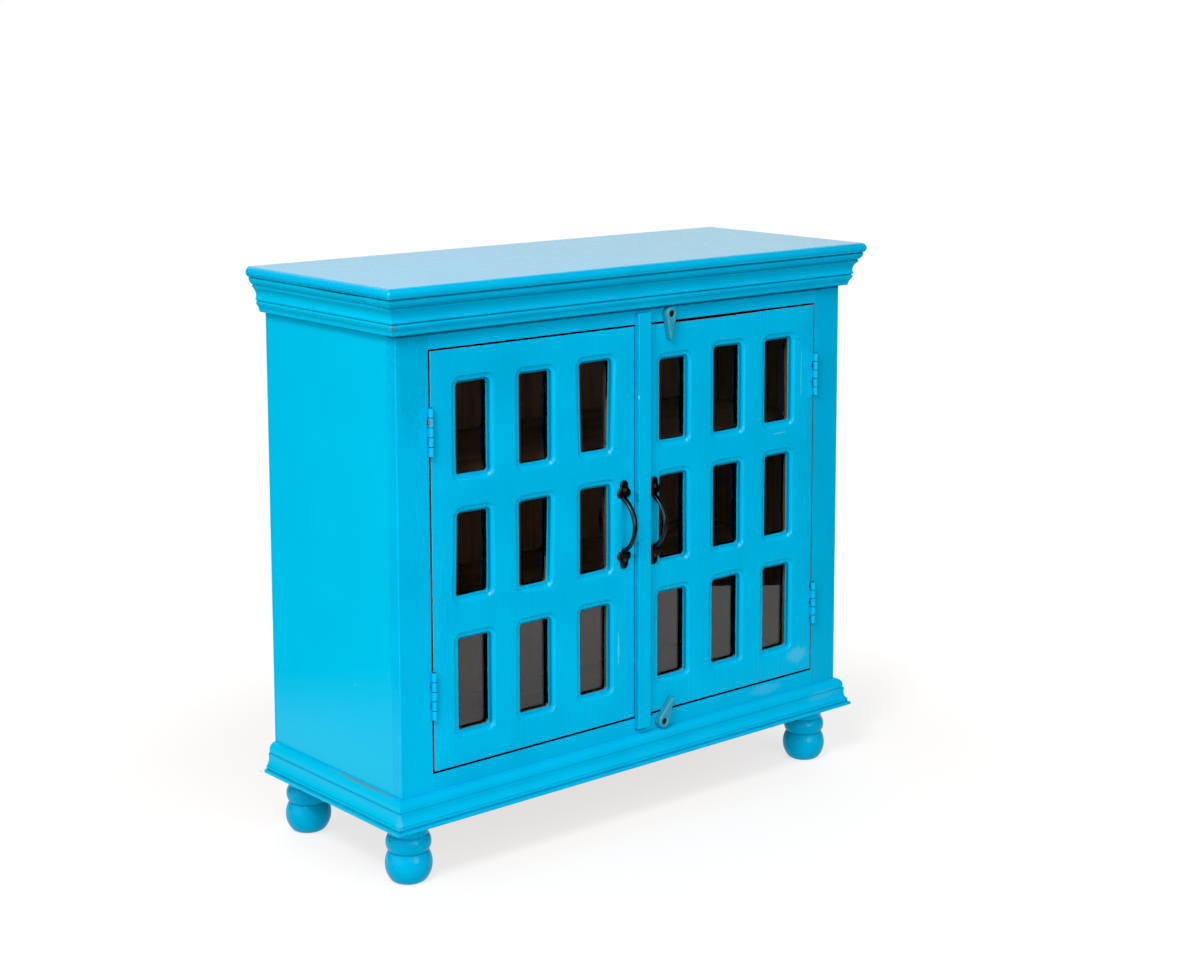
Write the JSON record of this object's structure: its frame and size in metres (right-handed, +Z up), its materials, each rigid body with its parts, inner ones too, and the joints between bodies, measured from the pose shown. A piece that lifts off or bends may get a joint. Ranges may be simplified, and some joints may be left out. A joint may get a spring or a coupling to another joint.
{
  "type": "glazed cabinet",
  "caption": "Painted wooden sideboard cabinet on turned feet, with a pair of hinged doors glazed with small panes, bow handles, turn buttons and open shelves inside.",
  "frame": {"origin": "middle of the cabinet's footprint box, handles included, on the floor under the feet", "axes": "+X to the right seen from the front, +Y to the back, +Z up; the doors face -Y"},
  "size_m": [1.015, 0.395, 0.9353],
  "materials": {
    "painted_wood": "satin cyan paint",
    "stained_wood": "brown stain",
    "bare_wood": "unfinished",
    "clear_glass": "polished",
    "painted_hinge": "satin cyan paint",
    "black_iron": "black, slightly rough",
    "worn_latch": "worn paint over iron",
    "steel": "dark steel"
  },
  "bodies": {
    "case": {"back_panel": "stained_wood", "back_panel_nails": "steel", "base_moulding_front": "painted_wood", "base_moulding_left": "painted_wood", "base_moulding_right": "painted_wood", "bottom_front_rail": "painted_wood", "crown_moulding_front": "painted_wood", "crown_moulding_left": "painted_wood", "crown_moulding_right": "painted_wood", "floor_panel": "stained_wood", "foot_bolts": "steel", "frame_hinge_screws": "steel", "front_left_corner_block": "bare_wood", "front_left_foot": "painted_wood", "front_right_corner_block": "bare_wood", "front_right_foot": "painted_wood", "hinge_pins": "steel", "latch_screws": "steel", "left_front_stile": "painted_wood", "left_lower_hinge_frame_leaf": "painted_hinge", "left_side_panel": "painted_wood", "left_upper_hinge_frame_leaf": "painted_hinge", "lower_shelf": "stained_wood", "lower_shelf_cleat_left": "stained_wood", "lower_shelf_cleat_right": "stained_wood", "rear_left_corner_block": "bare_wood", "rear_left_foot": "painted_wood", "rear_right_corner_block": "bare_wood", "rear_right_foot": "painted_wood", "rear_top_rail": "stained_wood", "right_front_stile": "painted_wood", "right_lower_hinge_frame_leaf": "painted_hinge", "right_side_panel": "painted_wood", "right_upper_hinge_frame_leaf": "painted_hinge", "top_board": "painted_wood", "top_front_rail": "painted_wood", "upper_shelf": "stained_wood", "upper_shelf_cleat_left": "stained_wood", "upper_shelf_cleat_right": "stained_wood"},
    "left_door": {"left_door_panel": "painted_wood", "left_door_glass": "clear_glass", "left_glazing_beads": "bare_wood", "left_handle": "black_iron", "left_handle_screws": "steel", "left_door_hinge_screws": "steel", "left_upper_hinge_door_leaf": "painted_hinge", "left_lower_hinge_door_leaf": "painted_hinge"},
    "right_door": {"right_door_panel": "painted_wood", "right_door_glass": "clear_glass", "right_glazing_beads": "bare_wood", "right_handle": "black_iron", "right_handle_screws": "steel", "right_door_hinge_screws": "steel", "right_upper_hinge_door_leaf": "painted_hinge", "right_lower_hinge_door_leaf": "painted_hinge", "astragal": "painted_wood"},
    "upper_latch": {"upper_latch": "worn_latch"},
    "lower_latch": {"lower_latch": "worn_latch"}
  },
  "joints": [
    {"name": "left_door_hinge", "type": "hinge", "parent": "case", "child": "left_door", "pos_m": [-0.41225, -0.1688, 0.504], "axis": [0, 0, -1], "range_deg": [0, 175]},
    {"name": "right_door_hinge", "type": "hinge", "parent": "case", "child": "right_door", "pos_m": [0.41225, -0.1688, 0.504], "axis": [0, 0, 1], "range_deg": [0, 175]},
    {"name": "upper_latch_pivot", "type": "hinge", "parent": "case", "child": "upper_latch", "pos_m": [0.0685, -0.17, 0.8465], "axis": [0, -1, 0], "range_deg": [-90, 90]},
    {"name": "lower_latch_pivot", "type": "hinge", "parent": "case", "child": "lower_latch", "pos_m": [0.054, -0.17, 0.15985], "axis": [0, 1, 0], "range_deg": [-55, 60.5]}
  ]
}
